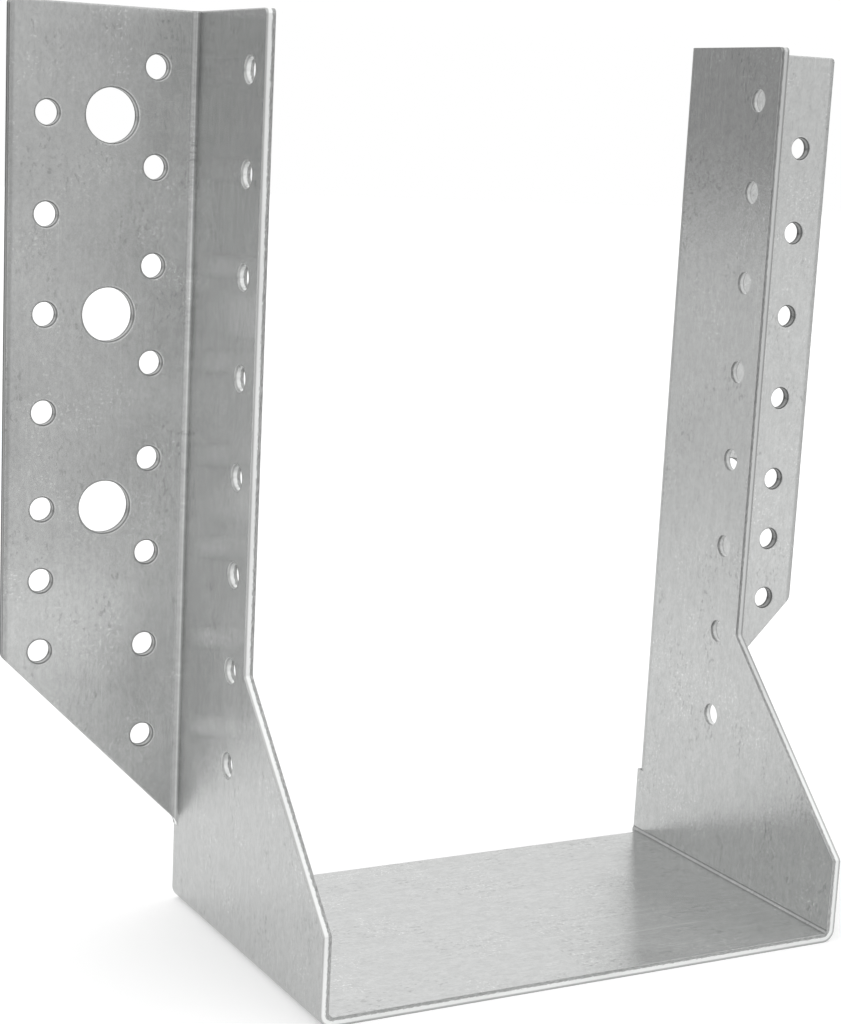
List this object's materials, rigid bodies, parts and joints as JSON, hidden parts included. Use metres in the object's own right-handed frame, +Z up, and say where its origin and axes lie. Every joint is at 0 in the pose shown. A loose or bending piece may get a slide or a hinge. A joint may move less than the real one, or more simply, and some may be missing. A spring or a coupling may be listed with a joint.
{
  "type": "joist hanger",
  "caption": "U-shaped joist hanger folded from one steel sheet: a seat and two legs hold a beam's end, and two outward flanges with nail and bolt holes fix it to a header.",
  "frame": {"origin": "under the middle of the bounding box, on the plane of the seat's underside", "axes": "+Z up along the legs, +X across the hanger, +Y from the seat's front towards the header"},
  "size_m": [0.203, 0.076, 0.19],
  "materials": {
    "galvanised_sheet": "zinc-coated, satin grey with a fine mottled grain and light handling scratches"
  },
  "bodies": {
    "root": {"hanger_body": "galvanised_sheet"}
  },
  "joints": []
}
